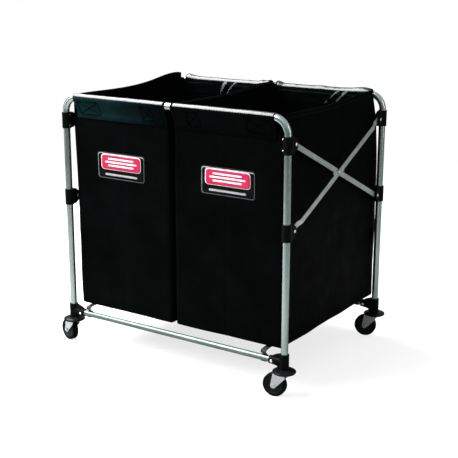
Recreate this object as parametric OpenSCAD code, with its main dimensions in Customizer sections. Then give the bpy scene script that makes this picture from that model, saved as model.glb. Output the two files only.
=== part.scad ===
// Folding housekeeping cart: two tube frames, scissor braces at both ends,
// two hanging bags side by side, four swivel casters.
// X runs along the long front, Y from the front to the rear, Z is up.

/* [Overall] */
// Distance between the leg axes along the front
span_x = 842; // [600:1:1200]
// Distance between the leg axes from front to rear, opened out
span_y = 624; // [440:1:800]
// Height of the top of the rails above the floor
rail_top = 864; // [700:1:1000]

/* [Tubes] */
// Outer diameter of the frame tube
tube_d = 22; // [16:0.5:30]
// Wall of the frame tube
tube_wall = 1.5; // [1:0.1:3]
// Centreline radius of the upper bends
bend_r = 50; // [35:1:80]
// Outer diameter of the cross tube
cross_d = 19; // [14:0.5:25]
// Wall of the cross tube
cross_wall = 1.2; // [0.8:0.1:2.5]
// Height of the cross tube's axis above the bumper discs
cross_rise = 22; // [17:0.5:40]

/* [Casters] */
// Wheel diameter
wheel_d = 75; // [50:1:80]
// Tyre width
tyre_w = 22; // [14:0.5:28]
// Depth of the tyre over the hub
tyre_depth = 9; // [5:0.5:14]
// Distance of the axle behind the swivel axis
trail = 30; // [15:1:40]
// Axle bolt diameter
axle_d = 8; // [5:0.5:10]
// Fork sheet thickness
fork_t = 2.5; // [1.5:0.1:4]
// Air between the tyre and the fork
fork_air = 2.2; // [1:0.1:5]
// Diameter of the crown of the fork
crown_d = 48; // [36:1:60]
// Swivel stem diameter
stem_d = 11; // [8:0.5:14]
// Heading of the front left caster
turn_front_left = 165; // [0:1:359]
// Heading of the front right caster
turn_front_right = 187; // [0:1:359]
// Heading of the rear left caster
turn_rear_left = 180; // [0:1:359]
// Heading of the rear right caster
turn_rear_right = 192; // [0:1:359]

/* [Corner mouldings] */
// Diameter of the bumper discs
bumper_d = 73; // [60:1:110]
// Height of a bumper disc
bumper_h = 11; // [8:0.5:18]
// Wall of the sleeves round the leg tubes
sleeve_wall = 3.6; // [2:0.1:6]
// Height of a corner socket
socket_h = 48; // [42:1:80]
// Reach of the cross-tube boss from the leg axis
boss_reach = 50; // [40:1:80]
// Wall of the boss round the cross tube
boss_wall = 3.5; // [2:0.1:6]

/* [Braces] */
// Drop of the upper brace pivots below the rail top
pivot_drop = 89; // [80:1:200]
// Rise of the braces between their pivots, opened out
pivot_rise = 258; // [160:1:320]
// Distance of the brace pivots from the leg axes
ear_reach = 32; // [28:1:60]
// Width of the brace bars
bar_w = 16; // [10:0.5:25]
// Thickness of the brace bars
bar_t = 3; // [2:0.1:6]
// Thickness of the spacer between the two bars
spacer_t = 3; // [1:0.1:8]
// Length of the spacer strip
spacer_len = 70; // [24:1:120]
// Height of the clamps
clamp_h = 52; // [40:1:80]
// Width of the clamp ears
ear_w = 19; // [14:0.5:30]
// Diameter of the pivot rivets
rivet_d = 6; // [4:0.5:9]

/* [Bags] */
// Distance of the outer bag sides from the leg axes
bag_inset = 25; // [20:1:60]
// Height of the bag floors above the cross tubes' axis
bag_lift = 37; // [26:1:120]
// Gap between the two bags
bag_gap = 12; // [4:1:40]
// Thickness of the cloth
cloth = 2; // [1:0.1:4]
// Depth of the sleeve flap below the rail top
flap_drop = 78; // [75:1:140]
// Depth below the rail's centre at which the flap meets the panel
flap_join = 45; // [36:1:60]
// Depth below the rail's centre at which the flap turns in towards the panel
flap_turn = 8; // [6:1:12]
// Drop of the free side edges below the rail top
side_drop = 6; // [2:1:40]
// Width of the webbing straps
strap_w = 20; // [12:1:40]
// Thickness of the webbing straps
strap_t = 2; // [1:0.1:4]
// Distance of the straps from the leg axes
strap_inset = 71; // [66:1:200]
// Width of the label plates
label_w = 195; // [100:1:300]
// Height of the label plates
label_h = 90; // [40:1:140]
// Drop of the middle of the label plates below the rail top
label_drop = 226; // [140:1:500]

/* [Fits] */
// Radial clearance of a shaft that turns in a hole
run_fit = 0.05; // [0.02:0.01:0.1]
// Air between faces that slide past each other
slide_air = 0.3; // [0.2:0.05:0.6]
// Radial clearance of a tube seated in a moulding
seat_fit = 0.05; // [0.02:0.01:0.2]
// Radial clearance of the rivet in the far left rear brace hole
open_fit = 0.4; // [0.2:0.05:1]

/* [Hidden] */
$fn = 64;
leg_x = span_x / 2;
leg_y = span_y / 2;
tube_r = tube_d / 2;
rail_z = rail_top - tube_r;
wheel_r = wheel_d / 2;
sleeve_r = tube_r + sleeve_wall;
bend_x = leg_x - bend_r;

// Casters, from the floor up
tyre_gap_top = 2.5;
crown_z = wheel_d + tyre_gap_top;
crown_top = crown_z + fork_t;
bumper_z = crown_top + slide_air;
bumper_top = bumper_z + bumper_h;
hub_r = wheel_r - tyre_depth;
hub_w = tyre_w - 2;
bore_r = axle_d / 2;
fork_in = tyre_w / 2 + fork_air;
fork_out = fork_in + fork_t;
fork_front = 8;
fork_lip = 13;
stem_head_r = 8;
stem_head_h = 4;
stem_head_z = crown_z - slide_air - stem_head_h;
web_h = 14;
stem_top = bumper_top + web_h - 4;
stem_r = stem_d / 2;
axle_head_r = bore_r + 2.5;
axle_head_h = 3;
fork_foot_r = axle_head_r + 2.5;
hub_boss_r = bore_r + 5;

// Sockets
leg_foot = bumper_top + web_h;
cross_z = bumper_top + cross_rise;
socket_top = bumper_top + socket_h;
boss_r = cross_d / 2 + boss_wall;
cross_end = leg_x - sleeve_r + 1;
cross_rivet_r = 2.5;
cross_rivet_x = leg_x - boss_reach + 11;
gusset_t = 12;

// Braces
pivot_upper_z = rail_top - pivot_drop;
pivot_lower_z = pivot_upper_z - pivot_rise;
pivot_y = leg_y - ear_reach;
pivot_run = 2 * pivot_y;
bar_len = sqrt(pivot_run * pivot_run + pivot_rise * pivot_rise);
bar_tilt = atan(pivot_rise / pivot_run);
pivot_mid_z = (pivot_upper_z + pivot_lower_z) / 2;
joggle_out = spacer_t + bar_t + 0.2;
joggle_start = clamp_h / 2 + 8;
joggle_end = joggle_start + 14;
slot_w = bar_t + 2 * slide_air;
slot_root = ear_reach - bar_w / 2 - 1.6;
ear_end = ear_reach + 10;
ear_end_h = clamp_h - 16;
rivet_r = rivet_d / 2;
rivet_head_r = rivet_r + 2;
rivet_head_h = 2.2;
hole_r = rivet_r + run_fit;
screw_r = 2;
screw_head_r = 3.4;
screw_head_h = 1.8;
screw_pitch = 33;

// Bags
bag_half = leg_x - bag_inset;
bag_floor_z = cross_z + bag_lift;
sleeve_in = tube_r + slide_air;
sleeve_out = sleeve_in + cloth;
panel_y = leg_y - sleeve_out;
flap_end = flap_drop - tube_r;
sleeve_far = bend_x + 4;
sleeve_near = 12;
side_top = rail_top - side_drop;
bag_in = bag_gap / 2;
label_t = 2;
label_z = rail_top - label_drop;
label_x = (bag_half + bag_in) / 2 + 4;
strap_x = leg_x - strap_inset;
strap_z = bag_floor_z;
strap_in = cross_d / 2 + slide_air;

STEEL = [0.68, 0.72, 0.71];
ZINC = [0.78, 0.79, 0.8];
BLACK = [0.08, 0.08, 0.09];
CLOTH = [0.05, 0.06, 0.06];

// A cylinder along X from x0 to x1
module rod_x(r, x0, x1) {
    translate([x0, 0, 0])
        rotate([0, 90, 0])
            cylinder(r = r, h = x1 - x0);
}

// A cylinder along Y from y0 to y1
module rod_y(r, y0, y1) {
    translate([0, y1, 0])
        rotate([90, 0, 0])
            cylinder(r = r, h = y1 - y0);
}

// A box between two corners
module block(a, b) {
    translate(a)
        cube([b[0] - a[0], b[1] - a[1], b[2] - a[2]]);
}

// One quarter bend at the upper right of a frame
module quarter_bend(r) {
    translate([bend_x, 0, rail_z - bend_r])
        rotate([90, 0, 0])
            rotate_extrude(angle = 90)
                translate([bend_r, 0])
                    circle(r = r);
}

// The solid outline of an inverted U of one radius, open ends at the bottom
module u_shape(r, foot) {
    for (s = [-1, 1]) {
        translate([s * leg_x, 0, foot])
            cylinder(r = r, h = rail_z - bend_r - foot);
    }
    translate([0, 0, rail_z])
        rod_x(r, -bend_x, bend_x);
    quarter_bend(r);
    mirror([1, 0, 0])
        quarter_bend(r);
}

module frame_tube(sy) {
    color(STEEL)
        translate([0, sy * leg_y, 0])
            difference() {
                u_shape(tube_r, leg_foot);
                u_shape(tube_r - tube_wall, leg_foot - 1);
            }
}

module cross_tube(sy) {
    color(STEEL)
        translate([0, sy * leg_y, cross_z])
            difference() {
                rod_x(cross_d / 2, -cross_end, cross_end);
                rod_x(cross_d / 2 - cross_wall, -cross_end - 1, cross_end + 1);
                for (s = [-1, 1])
                    translate([s * cross_rivet_x, 0, 0])
                        rod_y(cross_rivet_r, -cross_d, cross_d);
            }
}

// Corner socket for the right hand side, leg axis at the origin
module socket_right() {
    difference() {
        union() {
            translate([0, 0, bumper_top])
                cylinder(r = sleeve_r, h = socket_top - bumper_top);
            translate([0, 0, cross_z])
                rod_x(boss_r, -boss_reach, 0);
            rotate([90, 0, 0])
                translate([0, 0, -gusset_t / 2])
                    linear_extrude(height = gusset_t)
                        polygon([
                            [0, bumper_top], [0, socket_top],
                            [-sleeve_r, socket_top - 1],
                            [-boss_reach + 20, socket_top - 6],
                            [-boss_reach + 8, cross_z + boss_r + 1],
                            [-boss_reach + 4, cross_z + boss_r - 2],
                            [-boss_reach + 8, cross_z - boss_r + 1],
                            [-boss_reach + 20, cross_z - boss_r],
                            [-sleeve_r - 7, bumper_top + 7],
                            [-sleeve_r - 3, bumper_top]
                        ]);
        }
        translate([0, 0, leg_foot])
            cylinder(r = tube_r + seat_fit, h = socket_top);
        translate([0, 0, bumper_top - 1])
            cylinder(r = stem_r, h = stem_top - bumper_top + 1);
        translate([0, 0, cross_z])
            rod_x(cross_d / 2 + seat_fit, -boss_reach - 1, cross_end - leg_x);
        translate([cross_rivet_x - leg_x, 0, cross_z])
            rod_y(cross_rivet_r, -boss_r - 1, boss_r + 1);
    }
}

module socket(sx, sy) {
    color(BLACK)
        translate([sx * leg_x, sy * leg_y, 0])
            if (sx > 0)
                socket_right();
            else
                mirror([1, 0, 0])
                    socket_right();
}

// Domed disc with a rounded rim
module bumper() {
    rim = 3.5;
    rotate_extrude()
        difference() {
            union() {
                translate([0, bumper_z])
                    square([bumper_d / 2 - rim, 2 * rim]);
                translate([bumper_d / 2 - rim, bumper_z + rim])
                    circle(r = rim, $fn = 32);
                translate([0, bumper_z + rim])
                    polygon([
                        [0, 0], [bumper_d / 2 - rim, rim],
                        [bumper_d / 2 - 9, bumper_h - rim - 1.6],
                        [sleeve_r + 2, bumper_h - rim], [0, bumper_h - rim]
                    ]);
            }
            translate([-bumper_d, 0])
                square([bumper_d + stem_r, 2 * bumper_top]);
        }
}

module bumpers(sy) {
    color(BLACK)
        for (sx = [-1, 1])
            translate([sx * leg_x, sy * leg_y, 0])
                bumper();
}

module stems(sy) {
    color(ZINC)
        for (sx = [-1, 1])
            translate([sx * leg_x, sy * leg_y, 0]) {
                translate([0, 0, stem_head_z])
                    cylinder(r = stem_head_r, h = stem_head_h);
                translate([0, 0, stem_head_z])
                    cylinder(r = stem_r, h = stem_top - stem_head_z);
            }
}

// Places a caster piece: trail along +X is turned to the heading
module at_caster(sx, sy, turn) {
    translate([sx * leg_x, sy * leg_y, 0])
        rotate([0, 0, turn])
            children();
}

module fork_side() {
    rotate([90, 0, 0])
        linear_extrude(height = fork_t)
            difference() {
                union() {
                    polygon([
                        [-fork_front, crown_top], [-fork_front, crown_z - fork_lip],
                        [trail - fork_foot_r * 0.68, wheel_r - fork_foot_r * 0.73],
                        [trail + fork_foot_r, wheel_r],
                        [trail + 1, crown_top]
                    ]);
                    translate([trail, wheel_r])
                        circle(r = fork_foot_r);
                }
                translate([trail, wheel_r])
                    circle(r = bore_r);
            }
}

module fork(sx, sy, turn) {
    color(ZINC)
        at_caster(sx, sy, turn)
            difference() {
                union() {
                    translate([0, 0, crown_z])
                        cylinder(r = crown_d / 2, h = fork_t);
                    block([-fork_front, -fork_out, crown_z], [trail + 1, fork_out, crown_top]);
                    translate([0, -fork_in, 0])
                        fork_side();
                    translate([0, fork_out, 0])
                        fork_side();
                }
                translate([0, 0, crown_z - 1])
                    cylinder(r = stem_r + run_fit, h = fork_t + 2);
            }
}

module hub(sx, sy, turn) {
    color([0.3, 0.31, 0.32])
        at_caster(sx, sy, turn)
            translate([trail, 0, wheel_r])
                rotate([90, 0, 0])
                    rotate_extrude()
                        polygon([
                                [bore_r + run_fit, -fork_in + slide_air],
                                [hub_boss_r, -fork_in + slide_air],
                                [hub_boss_r, -hub_w / 2 + 3],
                                [hub_r - 5, -hub_w / 2 + 5], [hub_r - 3, -hub_w / 2],
                                [hub_r, -hub_w / 2], [hub_r, hub_w / 2],
                                [hub_r - 3, hub_w / 2], [hub_r - 5, hub_w / 2 - 5],
                                [hub_boss_r, hub_w / 2 - 3],
                                [hub_boss_r, fork_in - slide_air],
                                [bore_r + run_fit, fork_in - slide_air]
                            ]);
}

module tyre(sx, sy, turn) {
    shoulder = 4;
    color([0.1, 0.1, 0.1])
        at_caster(sx, sy, turn)
            translate([trail, 0, wheel_r])
                rotate([90, 0, 0])
                    rotate_extrude($fn = 96)
                        union() {
                            translate([hub_r, -tyre_w / 2 + shoulder])
                                square([tyre_depth, tyre_w - 2 * shoulder]);
                            translate([hub_r, -tyre_w / 2])
                                square([tyre_depth - shoulder, tyre_w]);
                            for (s = [-1, 1])
                                translate([wheel_r - shoulder, s * (tyre_w / 2 - shoulder)])
                                    circle(r = shoulder, $fn = 32);
                        }
}

module axle(sx, sy, turn) {
    color(ZINC)
        at_caster(sx, sy, turn)
            translate([trail, 0, wheel_r]) {
                rod_y(bore_r, -fork_out - axle_head_h, fork_out + axle_head_h);
                rod_y(axle_head_r, -fork_out - axle_head_h, -fork_out);
                translate([0, fork_out + axle_head_h, 0])
                    rotate([90, 0, 0])
                        cylinder(r = axle_head_r, h = axle_head_h, $fn = 6);
            }
}

// Clamp on the leg with its ear towards +Y, leg axis and pivot height at the origin
module clamp_body(bore) {
    difference() {
        union() {
            translate([0, 0, -clamp_h / 2])
                cylinder(r = sleeve_r, h = clamp_h);
            translate([-ear_w / 2, 0, 0])
                rotate([90, 0, 90])
                    linear_extrude(height = ear_w)
                        polygon([
                            [0, -clamp_h / 2], [slot_root, -clamp_h / 2 + 1],
                            [ear_end - 10, -ear_end_h / 2], [ear_end, -ear_end_h / 2 + 8],
                            [ear_end, ear_end_h / 2 - 8], [ear_end - 10, ear_end_h / 2],
                            [slot_root, clamp_h / 2 - 1], [0, clamp_h / 2]
                        ]);
        }
        translate([0, 0, -clamp_h])
            cylinder(r = bore, h = 2 * clamp_h);
        block([-slot_w / 2, slot_root, -clamp_h], [slot_w / 2, ear_end + 1, clamp_h]);
        translate([0, ear_reach, 0])
            rod_x(rivet_r, -ear_w, ear_w);
    }
}

module at_clamp(sx, sy, z) {
    translate([sx * leg_x, sy * leg_y, z])
        if (sy < 0)
            children();
        else
            mirror([0, 1, 0])
                children();
}

module clamp_upper(sx, sy) {
    color(BLACK)
        difference() {
            at_clamp(sx, sy, pivot_upper_z)
                clamp_body(tube_r + seat_fit);
            clamp_screw_holes(sx, sy);
        }
}

module clamp_lower(sx, sy) {
    color(BLACK)
        at_clamp(sx, sy, pivot_lower_z)
            clamp_body(tube_r + run_fit);
}

// Two holes through the inboard wall of the upper clamp
module clamp_screw_holes(sx, sy) {
    for (s = [-1, 1])
        translate([sx * leg_x, sy * leg_y, pivot_upper_z + s * screw_pitch / 2])
            if (sx > 0)
                rod_x(screw_r, -sleeve_r - 1, -tube_r + 1);
            else
                rod_x(screw_r, tube_r - 1, sleeve_r + 1);
}

module clamp_screws(sx, sy) {
    for (s = [-1, 1])
        translate([sx * leg_x, sy * leg_y, pivot_upper_z + s * screw_pitch / 2])
            rotate([0, 0, sx > 0 ? 180 : 0]) {
                rod_x(screw_r, tube_r, sleeve_r);
                rod_x(screw_head_r, sleeve_r, sleeve_r + screw_head_h);
            }
}

// Rivet across a clamp ear, heads on both faces
module ear_rivet() {
    rod_x(rivet_r, -ear_w / 2 - rivet_head_h, ear_w / 2 + rivet_head_h);
    for (s = [0, 1])
        mirror([s, 0, 0])
            translate([ear_w / 2, 0, 0])
                rivet_head(rivet_head_r, rivet_head_h);
}

// Domed head along +X, flat face at the origin
module rivet_head(r, h) {
    rotate([0, 90, 0]) {
        cylinder(r = r, h = h * 0.5);
        translate([0, 0, h * 0.5])
            cylinder(r1 = r, r2 = r * 0.6, h = h * 0.5);
    }
}

module upper_rivet(sx, sy) {
    translate([sx * leg_x, sy * pivot_y, pivot_upper_z])
        ear_rivet();
}

module lower_rivet(sx, sy) {
    color(ZINC)
        translate([sx * leg_x, sy * pivot_y, pivot_lower_z])
            ear_rivet();
}

module cross_rivets(sy) {
    for (sx = [-1, 1])
        translate([sx * cross_rivet_x, sy * leg_y, cross_z]) {
            rod_y(cross_rivet_r, -boss_r - 1, boss_r + 1);
            for (s = [0, 1])
                rotate([0, 0, 90 + 180 * s])
                    translate([boss_r, 0, 0])
                        rivet_head(cross_rivet_r + 2, 2.2);
        }
}

module fixings(sy) {
    color(ZINC) {
        for (sx = [-1, 1]) {
            upper_rivet(sx, sy);
            clamp_screws(sx, sy);
        }
        cross_rivets(sy);
    }
}

// Flat bar in its own frame: along +Y, outer face towards +X, both eyes drilled
module bar_shape(out, far_hole) {
    difference() {
        union() {
            if (out == 0) {
                block([-bar_t / 2, 0, -bar_w / 2], [bar_t / 2, bar_len, bar_w / 2]);
            } else {
                translate([0, 0, -bar_w / 2])
                    linear_extrude(height = bar_w)
                        polygon([
                            [-bar_t / 2, 0], [bar_t / 2, 0],
                            [bar_t / 2, joggle_start], [out + bar_t / 2, joggle_end],
                            [out + bar_t / 2, bar_len - joggle_end],
                            [bar_t / 2, bar_len - joggle_start],
                            [bar_t / 2, bar_len], [-bar_t / 2, bar_len],
                            [-bar_t / 2, bar_len - joggle_start],
                            [out - bar_t / 2, bar_len - joggle_end],
                            [out - bar_t / 2, joggle_end], [-bar_t / 2, joggle_start]
                        ]);
            }
            rod_x(bar_w / 2, -bar_t / 2, bar_t / 2);
            translate([0, bar_len, 0])
                rod_x(bar_w / 2, -bar_t / 2, bar_t / 2);
        }
        rod_x(hole_r, -bar_t, bar_t);
        translate([0, bar_len, 0])
            rod_x(far_hole, -bar_t, bar_t);
        translate([0, bar_len / 2, 0])
            rod_x(hole_r, -bar_t, out + bar_t);
    }
}

// Straight bar: upper front pivot to lower rear pivot
module brace_straight(sx) {
    color(STEEL)
        translate([sx * leg_x, -pivot_y, pivot_upper_z])
            rotate([-bar_tilt, 0, 0])
                bar_shape(0, hole_r);
}

// Joggled bar: lower front pivot to upper rear pivot, passes outside the straight one
module brace_joggled(sx) {
    far_hole = sx < 0 ? rivet_r + open_fit : hole_r;
    color(STEEL)
        translate([sx * leg_x, -pivot_y, pivot_lower_z])
            mirror([sx < 0 ? 1 : 0, 0, 0])
                rotate([bar_tilt, 0, 0])
                    bar_shape(joggle_out, far_hole);
}

// Centre rivet with the spacer strip that holds the bars apart
module brace_pivot(sx) {
    gap_0 = bar_t / 2;
    gap_1 = joggle_out - bar_t / 2;
    head_1 = joggle_out + bar_t / 2;
    color(ZINC)
        translate([sx * leg_x, 0, pivot_mid_z])
            mirror([sx < 0 ? 1 : 0, 0, 0]) {
                rod_x(rivet_r, -gap_0 - rivet_head_h, head_1 + rivet_head_h);
                translate([head_1 + 0.1, 0, 0])
                    rivet_head(rivet_head_r, rivet_head_h);
                mirror([1, 0, 0])
                    translate([gap_0, 0, 0])
                        rivet_head(rivet_head_r, rivet_head_h);
                difference() {
                    block([gap_0, -spacer_len / 2, -4], [gap_1 - 0.1, spacer_len / 2, 4]);
                    rod_x(rivet_r, 0, head_1);
                }
            }
}

// Outer flap below the rail
// Sleeve's section about the rail's centre: up from the panel, over the rail, and down the
// flap, which turns in to the panel's outer face and lies flat on it
module sleeve_section() {
    difference() {
        circle(r = sleeve_out);
        circle(r = sleeve_in);
        translate([-sleeve_out, -2 * sleeve_out])
            square([2 * sleeve_out, 2 * sleeve_out]);
    }
    translate([sleeve_in, -flap_end])
        square([cloth, flap_end]);
    polygon([
        [-sleeve_out, 0], [-sleeve_in, 0], [-sleeve_in, -flap_turn],
        [sleeve_in, -flap_join], [sleeve_in, -flap_end], [sleeve_in - cloth, -flap_end],
        [sleeve_in - cloth, -flap_join - cloth], [-sleeve_out, -flap_turn - cloth]
    ]);
}
module bag_end(sx, sy) {
    y0 = sy > 0 ? panel_y : -panel_y - cloth;
    color(CLOTH) {
        translate([sx > 0 ? sleeve_near : -sleeve_far, sy * leg_y, rail_z])
            rotate([90, 0, 90])
                linear_extrude(height = sleeve_far - sleeve_near)
                    if (sy > 0)
                        mirror([1, 0])
                            sleeve_section();
                    else
                        sleeve_section();
        block([sx > 0 ? bag_in : -bag_half, y0, bag_floor_z],
              [sx > 0 ? bag_half : -bag_in, y0 + cloth, rail_z - flap_end]);
    }
}
module bag_sides(sx) {
    color(CLOTH)
        for (x = [bag_in, bag_half - cloth])
            translate([sx > 0 ? x : -x - cloth, 0, 0])
                rotate([90, 0, 90])
                    linear_extrude(height = cloth)
                        polygon([
                            [-panel_y, bag_floor_z], [panel_y, bag_floor_z],
                            [panel_y, side_top], [-panel_y, side_top]
                        ]);
}

module bag_floor(sx) {
    y = panel_y;
    x0 = bag_in + cloth;
    x1 = bag_half - cloth;
    color(CLOTH)
        translate([sx > 0 ? x0 : -x1, -y, bag_floor_z])
            cube([x1 - x0, 2 * y, cloth]);
}

// Webbing from one cross tube to the other, looped round both
module strap(x) {
    translate([x - strap_w / 2, 0, 0])
        rotate([90, 0, 90])
            linear_extrude(height = strap_w)
                difference() {
                    union() {
                        for (s = [-1, 1])
                            translate([s * leg_y, cross_z])
                                circle(r = strap_in + strap_t);
                        for (s = [-1, 1])
                            translate([s * (leg_y - strap_t) - strap_t, cross_z + strap_in])
                                square([2 * strap_t, strap_z - cross_z - strap_in]);
                        translate([strap_t - leg_y, strap_z - strap_t])
                            square([2 * (leg_y - strap_t), strap_t]);
                    }
                    for (s = [-1, 1])
                        translate([s * leg_y, cross_z])
                            circle(r = strap_in);
                    for (s = [-1, 1])
                        translate([s * (leg_y + strap_in) - strap_in, cross_z - 2 * strap_in])
                            square([2 * strap_in, 4 * strap_in]);
                }
}
module straps() {
    color(CLOTH) {
        strap(-strap_x);
        strap(strap_x);
    }
}

module labels() {
    y = -panel_y - cloth;
    r = 8;
    color([0.75, 0.05, 0.15])
        for (sx = [-1, 1])
            translate([sx * label_x, y, label_z])
                rotate([90, 0, 0])
                    linear_extrude(height = label_t)
                        union() {
                            square([label_w, label_h - 2 * r], center = true);
                            square([label_w - 2 * r, label_h], center = true);
                            for (a = [-1, 1], b = [-1, 1])
                                translate([a * (label_w / 2 - r), b * (label_h / 2 - r)])
                                    circle(r = r);
                        }
}

frame_tube(-1);  // frame_front
frame_tube(1);  // frame_rear
cross_tube(-1);  // cross_tube_front
cross_tube(1);  // cross_tube_rear
socket(-1, -1);  // socket_front_left
socket(1, -1);  // socket_front_right
socket(-1, 1);  // socket_rear_left
socket(1, 1);  // socket_rear_right
bumpers(-1);  // bumpers_front
bumpers(1);  // bumpers_rear
stems(-1);  // stems_front
stems(1);  // stems_rear
fork(-1, -1, turn_front_left);  // fork_front_left
fork(1, -1, turn_front_right);  // fork_front_right
fork(-1, 1, turn_rear_left);  // fork_rear_left
fork(1, 1, turn_rear_right);  // fork_rear_right
hub(-1, -1, turn_front_left);  // hub_front_left
hub(1, -1, turn_front_right);  // hub_front_right
hub(-1, 1, turn_rear_left);  // hub_rear_left
hub(1, 1, turn_rear_right);  // hub_rear_right
tyre(-1, -1, turn_front_left);  // tyre_front_left
tyre(1, -1, turn_front_right);  // tyre_front_right
tyre(-1, 1, turn_rear_left);  // tyre_rear_left
tyre(1, 1, turn_rear_right);  // tyre_rear_right
axle(-1, -1, turn_front_left);  // axle_front_left
axle(1, -1, turn_front_right);  // axle_front_right
axle(-1, 1, turn_rear_left);  // axle_rear_left
axle(1, 1, turn_rear_right);  // axle_rear_right
clamp_upper(-1, -1);  // clamp_upper_front_left
clamp_upper(1, -1);  // clamp_upper_front_right
clamp_upper(-1, 1);  // clamp_upper_rear_left
clamp_upper(1, 1);  // clamp_upper_rear_right
clamp_lower(-1, -1);  // clamp_lower_front_left
clamp_lower(1, -1);  // clamp_lower_front_right
clamp_lower(-1, 1);  // clamp_lower_rear_left
clamp_lower(1, 1);  // clamp_lower_rear_right
lower_rivet(-1, -1);  // rivet_lower_front_left
lower_rivet(1, -1);  // rivet_lower_front_right
lower_rivet(-1, 1);  // rivet_lower_rear_left
lower_rivet(1, 1);  // rivet_lower_rear_right
brace_straight(-1);  // brace_straight_left
brace_straight(1);  // brace_straight_right
brace_joggled(-1);  // brace_joggled_left
brace_joggled(1);  // brace_joggled_right
brace_pivot(-1);  // brace_pivot_left
brace_pivot(1);  // brace_pivot_right
fixings(-1);  // fixings_front
fixings(1);  // fixings_rear
bag_end(-1, -1);  // bag_front_left
bag_end(1, -1);  // bag_front_right
bag_end(-1, 1);  // bag_rear_left
bag_end(1, 1);  // bag_rear_right
bag_sides(-1);  // bag_sides_left
bag_sides(1);  // bag_sides_right
bag_floor(-1);  // bag_floor_left
bag_floor(1);  // bag_floor_right
straps();
labels();
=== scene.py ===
"""Housekeeping cart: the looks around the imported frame. Metres, in the frame's own axes."""
import math

import bmesh
import bpy
import numpy as np
from mathutils import Euler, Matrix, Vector, noise


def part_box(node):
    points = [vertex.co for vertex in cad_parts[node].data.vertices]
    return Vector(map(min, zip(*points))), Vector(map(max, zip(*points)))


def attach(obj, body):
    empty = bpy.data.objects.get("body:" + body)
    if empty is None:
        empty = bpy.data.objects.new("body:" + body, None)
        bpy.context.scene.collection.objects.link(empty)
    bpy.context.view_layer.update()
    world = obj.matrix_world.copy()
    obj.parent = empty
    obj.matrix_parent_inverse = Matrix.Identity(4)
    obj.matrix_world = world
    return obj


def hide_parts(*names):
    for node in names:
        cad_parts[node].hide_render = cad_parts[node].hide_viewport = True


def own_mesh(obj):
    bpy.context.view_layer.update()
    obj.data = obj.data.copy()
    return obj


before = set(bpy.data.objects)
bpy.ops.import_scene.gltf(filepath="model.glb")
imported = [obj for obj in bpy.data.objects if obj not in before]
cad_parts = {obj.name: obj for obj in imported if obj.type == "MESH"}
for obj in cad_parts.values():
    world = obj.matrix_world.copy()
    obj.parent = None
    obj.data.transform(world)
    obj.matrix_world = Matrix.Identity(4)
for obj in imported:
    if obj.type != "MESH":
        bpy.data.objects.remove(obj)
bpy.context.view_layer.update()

# Places taken from the frame
RAIL_LO, RAIL_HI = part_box("frame_front")
RAIL_R = (RAIL_HI.y - RAIL_LO.y) / 2
RAIL_Y = -(RAIL_HI.y + RAIL_LO.y) / 2
RAIL_Z = RAIL_HI.z - RAIL_R
BAG_LO, BAG_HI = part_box("bag_front_right")
CROSS_LO, CROSS_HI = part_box("cross_tube_front")
CROSS_Z = (CROSS_LO.z + CROSS_HI.z) / 2
CROSS_R = (CROSS_HI.z - CROSS_LO.z) / 2
LABEL_LO, LABEL_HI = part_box("labels")
STRAP_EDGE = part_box("straps")[1].x

# The cloth, and where it lies in and beside its CAD solids
CLOTH_T = 0.0011
CLOTH_INSET = 0.001
INNER_INSET = 0.002
FLOOR_SAG = 0.0058
PANEL_Y = CLOTH_INSET - BAG_HI.y
BAG_IN = BAG_LO.x + INNER_INSET
BAG_OUT = BAG_HI.x - CLOTH_INSET
FLOOR_Z = BAG_LO.z - FLOOR_SAG
BASE_Z = FLOOR_Z + CLOTH_INSET
BODY_TOP = RAIL_Z - 0.008
CORNER_R = 0.008
FRONT_TRIM = 0.012
STEP = 0.008
WALL_ROWS = 90

# The laps of a rear panel, inside the sides and the floor
LAP = 0.046
LAP_INSET = 0.0022

# How far the hanging cloth leaves its box, and from where on: both rear panels, the right
# bag's outer side, and the left bag's, which spreads at its top and is tucked in at its foot
REAR_BULGE = 0.031
REAR_BULGE_FROM_Y = 0.06
OUTER_BULGE = 0.009
LEFT_SPREAD = 0.006
LEFT_TUCK = 0.011
SPREAD_FROM_X = 0.22
OUTER_LIMIT = BAG_OUT + 0.009
INNER_LIMIT = 0.0022

# The sleeves round the rails: their ends, the drop inside the bag, the flap outside it, and
# how far above the rail's axis they are worn slick
SLEEVE_R = RAIL_R + 0.0013
SLEEVE_NEAR = 0.012
SLEEVE_FAR = 0.379
SLEEVE_DROP = 0.052
FLAP_JOIN = 0.046
FLAP_DROP = 0.078
SLICK_RISE = 0.004


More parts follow.
